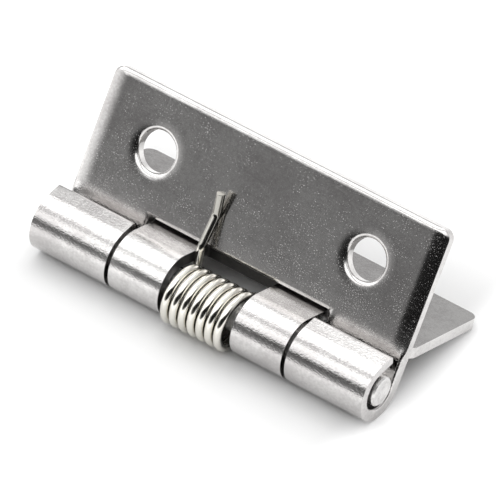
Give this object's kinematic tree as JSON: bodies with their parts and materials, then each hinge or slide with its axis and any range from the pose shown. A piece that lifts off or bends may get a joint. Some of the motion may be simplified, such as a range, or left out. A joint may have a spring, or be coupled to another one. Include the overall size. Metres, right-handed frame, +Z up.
{
  "type": "spring loaded door hinge",
  "caption": "Butt hinge of two rolled sheet metal leaves on a plain pin, with a torsion spring between the inner knuckles that swings the leaves to their stop.",
  "frame": {"origin": "on the surface that the free hinge lies on, under the middle of its outline", "axes": "+X along the pin, +Y to the back, towards the far edges of the leaves, +Z up"},
  "size_m": [0.0512, 0.0258, 0.0203],
  "materials": {
    "leaf_steel": "polished stainless sheet with fine pits",
    "pin_steel": "plain turned rod, cut ends",
    "spring_wire": "bright drawn spring wire"
  },
  "bodies": {
    "lower": {"lower_leaf": "leaf_steel", "hinge_pin": "pin_steel", "torsion_spring": "spring_wire"},
    "upper": {"upper_leaf": "leaf_steel"}
  },
  "joints": [
    {"name": "leaf_swing", "type": "hinge", "parent": "lower", "child": "upper", "pos_m": [0, -0.00777, 0.0041], "axis": [1, 0, 0], "range_deg": [0, 284], "stiffness_Nm_per_rad": 0.1087, "springref_deg": -20.05, "deforming": ["torsion_spring"]}
  ]
}
